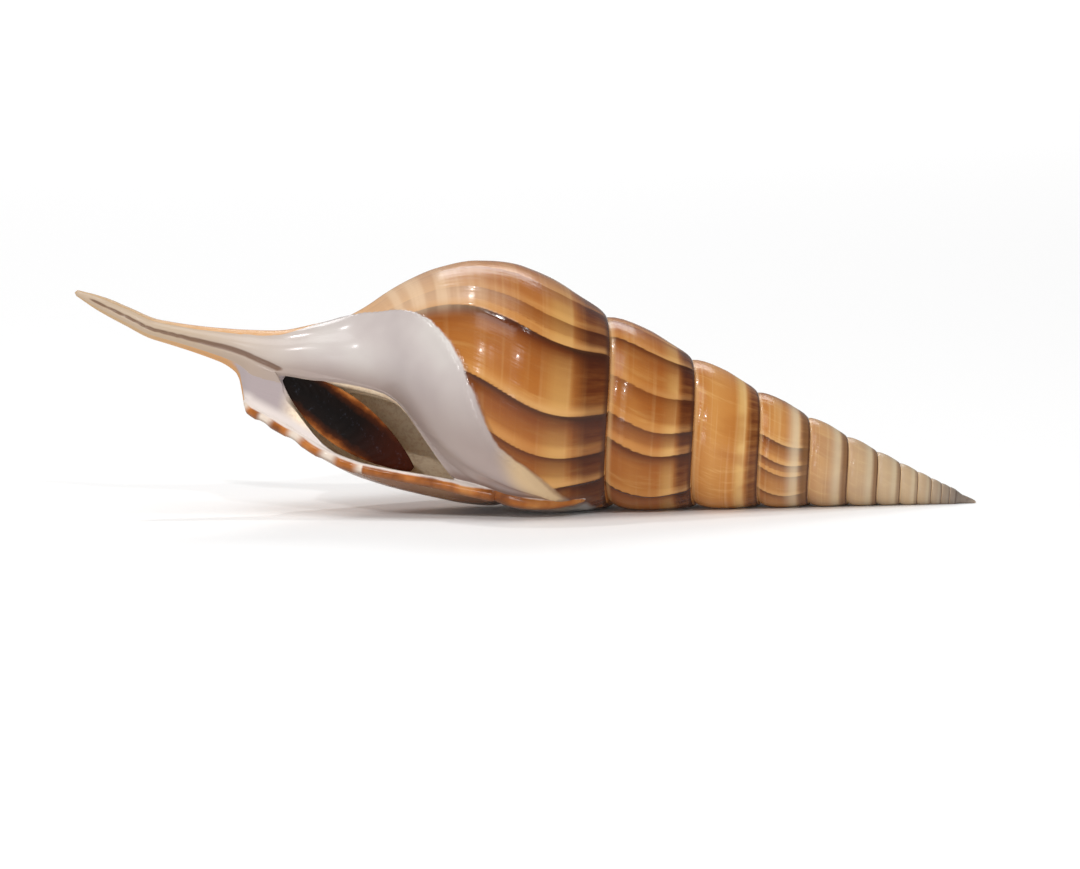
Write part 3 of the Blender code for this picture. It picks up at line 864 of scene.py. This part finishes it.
def with_callus(n, marks, colour):
    """Lilac white callus, darker towards its bottom with painted shade, cream to the spur, grey at its tip,
    tan on the rostrum, and painted brown shade in the crease along its edge.
    """
    glossy = n.ramp(n.noise(marks.place, 60.0, 3.0, 0.5), [
        (0.3, tone(180, 168, 166)), (0.5, tone(196, 186, 182)), (0.7, tone(208, 202, 196)),
    ])
    # Painted shade: the callus darker towards its bottom
    low = n.fit(marks.turn, 12.0, -40.0)
    glossy = n.mix(n.sum("MULTIPLY", low, 0.75), glossy, tone(152, 132, 124))
    spur = n.sum("MULTIPLY", n.fit(marks.distance, 79.0, 73.0), n.fit(marks.callus, 7.0, 2.0))
    glossy = n.mix(n.sum("MULTIPLY", spur, 0.8), glossy, tone(214, 182, 136))
    glossy = n.mix(n.fit(marks.distance, 66.5, 63.0, 0.0, 0.8), glossy, tone(138, 142, 146))
    glossy = n.mix(n.fit(marks.distance, 106.0, 136.0, 0.0, 0.85), glossy, tone(190, 166, 138))
    colour = n.mix(n.fit(marks.ragged_callus, -0.3, 0.4), colour, glossy)
    # Painted shade in the crease just outside the callus edge
    callus_edge_painted_shade = n.sum("MULTIPLY", n.fit(marks.callus, -0.9, -0.1), n.fit(marks.callus, 0.5, 0.0))
    callus_edge_painted_shade = n.sum("MULTIPLY", callus_edge_painted_shade, n.fit(marks.turn, 30.0, 0.0))
    return n.mix(n.sum("MULTIPLY", callus_edge_painted_shade, 0.45), colour, tone(110, 62, 34))


def with_mouth(n, marks, colour):
    """Tan and grainy on the inner wall, white at the front and beside the lip, and painted shade in the canal
    and in the groove beside the rim.
    """
    grain = n.noise(marks.place, 1400.0, 3.0, 0.6)
    inside = n.mix(n.fit(grain, 0.4, 0.7, 0.0, 0.35), tone(255, 234, 204), tone(200, 156, 118))
    inside = n.mix(n.fit(marks.distance, 110.0, 114.5), inside, tone(172, 158, 158))
    inside = n.mix(n.fit(marks.rim, 2.2, 0.5), inside, tone(226, 214, 208))
    colour = n.mix(n.fit(n.read("depth"), 0.35, 0.75), colour, inside)
    # Painted shade in the canal along the rostrum
    colour = n.mix(n.sum("MULTIPLY", n.fit(n.read("canal"), 0.35, 0.8), 0.8), colour, tone(104, 70, 48))
    # Painted shade in the groove between the ridge of callus and the rim
    groove = n.sum("MULTIPLY", n.fit(marks.rim, 1.7, 0.4), n.fit(marks.distance, 90.0, 83.0))
    groove = n.sum("MULTIPLY", groove, n.fit(marks.turn, -30.0, -45.0))
    return n.mix(n.sum("MULTIPLY", groove, 0.6), colour, tone(104, 70, 54))


def with_rim(n, marks, colour):
    """Lip rim: orange brown outside, with white glaze between the teeth and along its inner edge."""
    rim_colour = n.ramp(marks.cloud, [
        (0.35, tone(128, 70, 28)), (0.5, tone(176, 104, 44)), (0.65, tone(200, 134, 70)),
    ])
    rim_colour = n.mix(n.sum("SUBTRACT", 1.0, n.read("tooth")), rim_colour, tone(222, 206, 190))
    glaze = n.read("glaze")
    uneven = n.sum("ADD", glaze, n.sum("MULTIPLY", n.sum("SUBTRACT", marks.cloud, 0.5), 0.8))
    rim_colour = n.mix(n.fit(uneven, 0.35, 0.65), rim_colour, tone(224, 212, 204))
    rim_colour = n.mix(n.fit(glaze, -0.3, -0.9, 0.0, 0.6), rim_colour, tone(120, 88, 66))
    return n.mix(n.fit(marks.rim, 0.22, 0.05), colour, rim_colour)


def colour_shell(material):
    """Glossy shell: brown spiral bands, growth ridges with painted shadow and shade on their older side and a
    painted highlight on the crest, white callus and brown lip, and painted shade in sutures, creases, grooves
    and on the underside.
    """
    material.use_nodes = True
    n = Nodes(material.node_tree)
    shader = material.node_tree.nodes["Principled BSDF"]
    marks = GrowthMarks(n)
    colour = banded_colour(n, marks)
    for layer in (with_ridges, with_spire, with_front, with_callus, with_mouth, with_rim):
        colour = layer(n, marks, colour)
    n.put(shader.inputs["Base Color"], colour)
    n.put(shader.inputs["Roughness"], n.fit(marks.cloud, 0.3, 0.7, 0.16, 0.27))
    shader.inputs["Specular IOR Level"].default_value = 0.22
    shader.inputs["Coat Weight"].default_value = 0.14
    shader.inputs["Coat Roughness"].default_value = 0.06

    # Fine growth lines and spiral lines in the surface, and none on the callus
    relief = n.sum("ADD", n.sum("MULTIPLY", marks.fine, 0.7), n.sum("MULTIPLY", marks.lines, 0.4))
    height = n.sum("MULTIPLY", relief, n.fit(marks.ragged_callus, 0.3, -0.3))
    n.bump(shader, height, 0.35, 0.00025)


colour_shell(grown_shell)
shell.data.materials.clear()
shell.data.materials.append(grown_shell)
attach(shell, "root")
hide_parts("shell")

# Operculum
# The thin horny leaf that closed the mouth, pointed at both ends and slightly hollow. It is dark brown horn
# with dust on its face, and amber where its margin is thin. It rests in the mouth with a gap all round.
OPERCULUM_FRONT = (113.9, -5.8, 3.6)
OPERCULUM_REAR = (90.4, -15.7, 3.0)
OPERCULUM_WIDTH = 8.2
OPERCULUM_THICKNESS = 0.7
LEAF_RINGS = 120
LEAF_SIDES = 64


def at_height(s, up, front):
    """A point at a distance along the axis and at heights up and to the front of it."""
    return Vector((APEX + s * ALONG + up * UP + front * FRONT) * MM)


def operculum_leaf():
    """Rings across the leaf, with its growth lines raised round a nucleus at the front end."""
    front = at_height(*OPERCULUM_FRONT)
    along = at_height(*OPERCULUM_REAR) - front
    across_leaf = along.normalized().cross(Vector((0.0, -1.0, 0.0))).normalized()
    face = across_leaf.cross(along.normalized())
    half_width = OPERCULUM_WIDTH * MM / 2
    half_thick = OPERCULUM_THICKNESS * MM / 2
    rings = []
    margins = []
    for t in np.linspace(0.0, 1.0, LEAF_RINGS).tolist():
        swell = math.sin(math.pi * (0.02 + 0.96 * t) ** 0.9) ** 0.75
        middle = front + along * t + face * (0.5 * MM * (4 * t * (1 - t) - 1))
        ring = []
        for number in range(LEAF_SIDES):
            turn = 2 * math.pi * number / LEAF_SIDES
            side = math.cos(turn)
            out = side * half_width * swell
            dish = 0.5 * MM * (out / half_width) ** 2
            shape = math.copysign(abs(math.sin(turn)) ** 0.6, math.sin(turn))
            grown = math.hypot(t, side * 0.35) * 46.0
            wave = 0.015 * MM * math.sin(grown * 2.0) * (1.0 - side ** 6)
            rise = shape * half_thick * (0.5 + 0.5 * swell) + dish + wave
            ring.append(middle + across_leaf * out + face * rise)
            margins.append((side * swell, t))
        rings.append(ring)
    leaf = loft("operculum_leaf", rings)
    return leaf, margins


operculum, leaf_margins = operculum_leaf()
add_attribute(operculum.data, "side", np.array([m[0] for m in leaf_margins]))
add_attribute(operculum.data, "length", np.array([m[1] for m in leaf_margins]))
operculum.data.shade_smooth()


def operculum_material():
    """Dark horn with pale dust on it and a translucent amber margin."""
    material = bpy.data.materials.new("horny_operculum")
    material.use_nodes = True
    n = Nodes(material.node_tree)
    shader = material.node_tree.nodes["Principled BSDF"]
    place_here = n.add("ShaderNodeTexCoord").outputs["Object"]
    side = n.read("side")
    length = n.read("length")
    cloud = n.noise(place_here, 420.0, 4.0, 0.6)
    edge = n.sum("ADD", n.sum("ABSOLUTE", side), n.sum("MULTIPLY", n.sum("SUBTRACT", cloud, 0.5), 0.5))
    horn = n.ramp(edge, [
        (0.0, tone(14, 9, 8)), (0.5, tone(20, 12, 9)), (0.72, tone(62, 28, 10)), (0.88, tone(122, 64, 24)),
        (1.0, tone(166, 102, 48)),
    ])
    rear = n.fit(length, 0.5, 0.95)
    horn = n.mix(n.sum("MULTIPLY", rear, 0.5), horn, tone(84, 32, 12))
    dust_place = n.noise(place_here, 900.0, 5.0, 0.75)
    dust = n.sum("MULTIPLY", n.fit(dust_place, 0.56, 0.76), n.fit(n.sum("ABSOLUTE", side), 0.8, 0.3))
    horn = n.mix(n.sum("MULTIPLY", dust, 0.16), horn, tone(118, 124, 142))
    n.put(shader.inputs["Base Color"], horn)
    n.put(shader.inputs["Roughness"], n.fit(dust, 0.0, 1.0, 0.38, 0.7))
    shader.inputs["Specular IOR Level"].default_value = 0.05
    n.bump(shader, dust_place, 0.3, 0.0001)
    return material


operculum.data.materials.append(operculum_material())
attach(operculum, "root")
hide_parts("operculum")

# Camera
# It looks level and a little down on the side that the mouth faces, from far off. Two places in the picture
# fix its turn and its distance: the apex and the end of the rostrum.
PICTURE = (1080, 869)
APEX_PIXEL = np.array([976.0, 502.5])
ROSTRUM_PIXEL = np.array([77.0, 293.0])
VIEW_AZIMUTH = math.radians(1.7)
VIEW_ELEVATION = math.radians(6.8)
CAMERA_AWAY = 1.6
SENSOR = 36.0

look = Vector((
    -math.sin(VIEW_AZIMUTH) * math.cos(VIEW_ELEVATION),
    math.cos(VIEW_AZIMUTH) * math.cos(VIEW_ELEVATION),
    -math.sin(VIEW_ELEVATION),
))
right = look.cross(Vector((0.0, 0.0, 1.0))).normalized()
above = right.cross(look)
apex_point = Vector(place(0.0, 0.0, 0.0))
rostrum_point = Vector(place(LENGTH, 0.0, 0.0))
middle_point = (apex_point + rostrum_point) / 2


def seen_from_afar(point):
    """Where a point shows on the plane through the shell's middle."""
    gap = point - middle_point
    return complex(gap.dot(right), gap.dot(above)) * CAMERA_AWAY / (CAMERA_AWAY + gap.dot(look))


seen = seen_from_afar(rostrum_point) - seen_from_afar(apex_point)
wanted = ROSTRUM_PIXEL - APEX_PIXEL
wanted = complex(wanted[0], -wanted[1])
camera_turn = math.atan2((wanted / seen).imag, (wanted / seen).real)
pixel_size = abs(seen) / abs(wanted)
turned_right = right * math.cos(camera_turn) - above * math.sin(camera_turn)
turned_above = right * math.sin(camera_turn) + above * math.cos(camera_turn)
seen_middle = (seen_from_afar(rostrum_point) + seen_from_afar(apex_point)) / 2
middle_pixel = (APEX_PIXEL + ROSTRUM_PIXEL) / 2
aim = middle_point + right * seen_middle.real + above * seen_middle.imag
aim += turned_right * (PICTURE[0] / 2 - middle_pixel[0]) * pixel_size
aim += turned_above * (middle_pixel[1] - PICTURE[1] / 2) * pixel_size
camera_data = bpy.data.cameras.new("camera")
camera_data.sensor_width = SENSOR
camera_data.lens = SENSOR * CAMERA_AWAY / (PICTURE[0] * pixel_size)
camera_data.clip_start = 0.05
camera = bpy.data.objects.new("camera", camera_data)
bpy.context.scene.collection.objects.link(camera)
turning = Matrix((turned_right, turned_above, -look)).transposed().to_4x4()
camera.matrix_world = Matrix.Translation(aim - look * CAMERA_AWAY) @ turning
bpy.context.scene.camera = camera

# Floor and light
# A plain pale floor that runs on past the picture, large soft lights over the shell and the floor behind it,
# and small ones that give the gloss the points of light that a glazed thing shows.
FLOOR_RADIUS = 4.0
floor_bm = bmesh.new()
bmesh.ops.create_circle(floor_bm, cap_ends=True, segments=96, radius=FLOOR_RADIUS)
floor_mesh = bpy.data.meshes.new("floor")
floor_bm.to_mesh(floor_mesh)
floor_bm.free()
floor = bpy.data.objects.new("floor", floor_mesh)
bpy.context.scene.collection.objects.link(floor)
floor_material = bpy.data.materials.new("pale_floor")
floor_material.use_nodes = True
floor_shader = floor_material.node_tree.nodes["Principled BSDF"]
floor_shader.inputs["Base Color"].default_value = (0.97, 0.97, 0.97, 1.0)
floor_shader.inputs["Roughness"].default_value = 0.8
floor.data.materials.append(floor_material)


def area_light(name, position, size, watts, towards=(0.0, 0.0, 0.02)):
    """A square light at a position, aimed at the shell's middle or at another place."""
    data = bpy.data.lights.new(name, "AREA")
    data.size = size
    data.energy = watts
    made = bpy.data.objects.new(name, data)
    bpy.context.scene.collection.objects.link(made)
    made.location = position
    made.rotation_euler = (Vector(towards) - Vector(position)).to_track_quat("-Z", "Y").to_euler()


area_light("top_light", (-0.1, -0.35, 1.1), 0.6, 4.4)
area_light("front_light", (-0.1, -1.5, 0.12), 0.4, 4.2)
area_light("small_light_left", (-0.46, -0.9, 0.75), 0.035, 2.8)
area_light("small_light_right", (0.16, -0.9, 0.7), 0.04, 1.8)
area_light("small_light_above", (-0.3, 0.15, 0.95), 0.05, 1.5)
area_light("floor_light", (0.0, 1.3, 1.0), 0.9, 10.0, (0.0, 1.4, 0.0))
world = bpy.data.worlds.new("studio")
world.use_nodes = True
world.node_tree.nodes["Background"].inputs["Color"].default_value = (1.0, 1.0, 1.0, 1.0)
world.node_tree.nodes["Background"].inputs["Strength"].default_value = 0.32
bpy.context.scene.world = world
bpy.context.scene.view_settings.view_transform = "Standard"
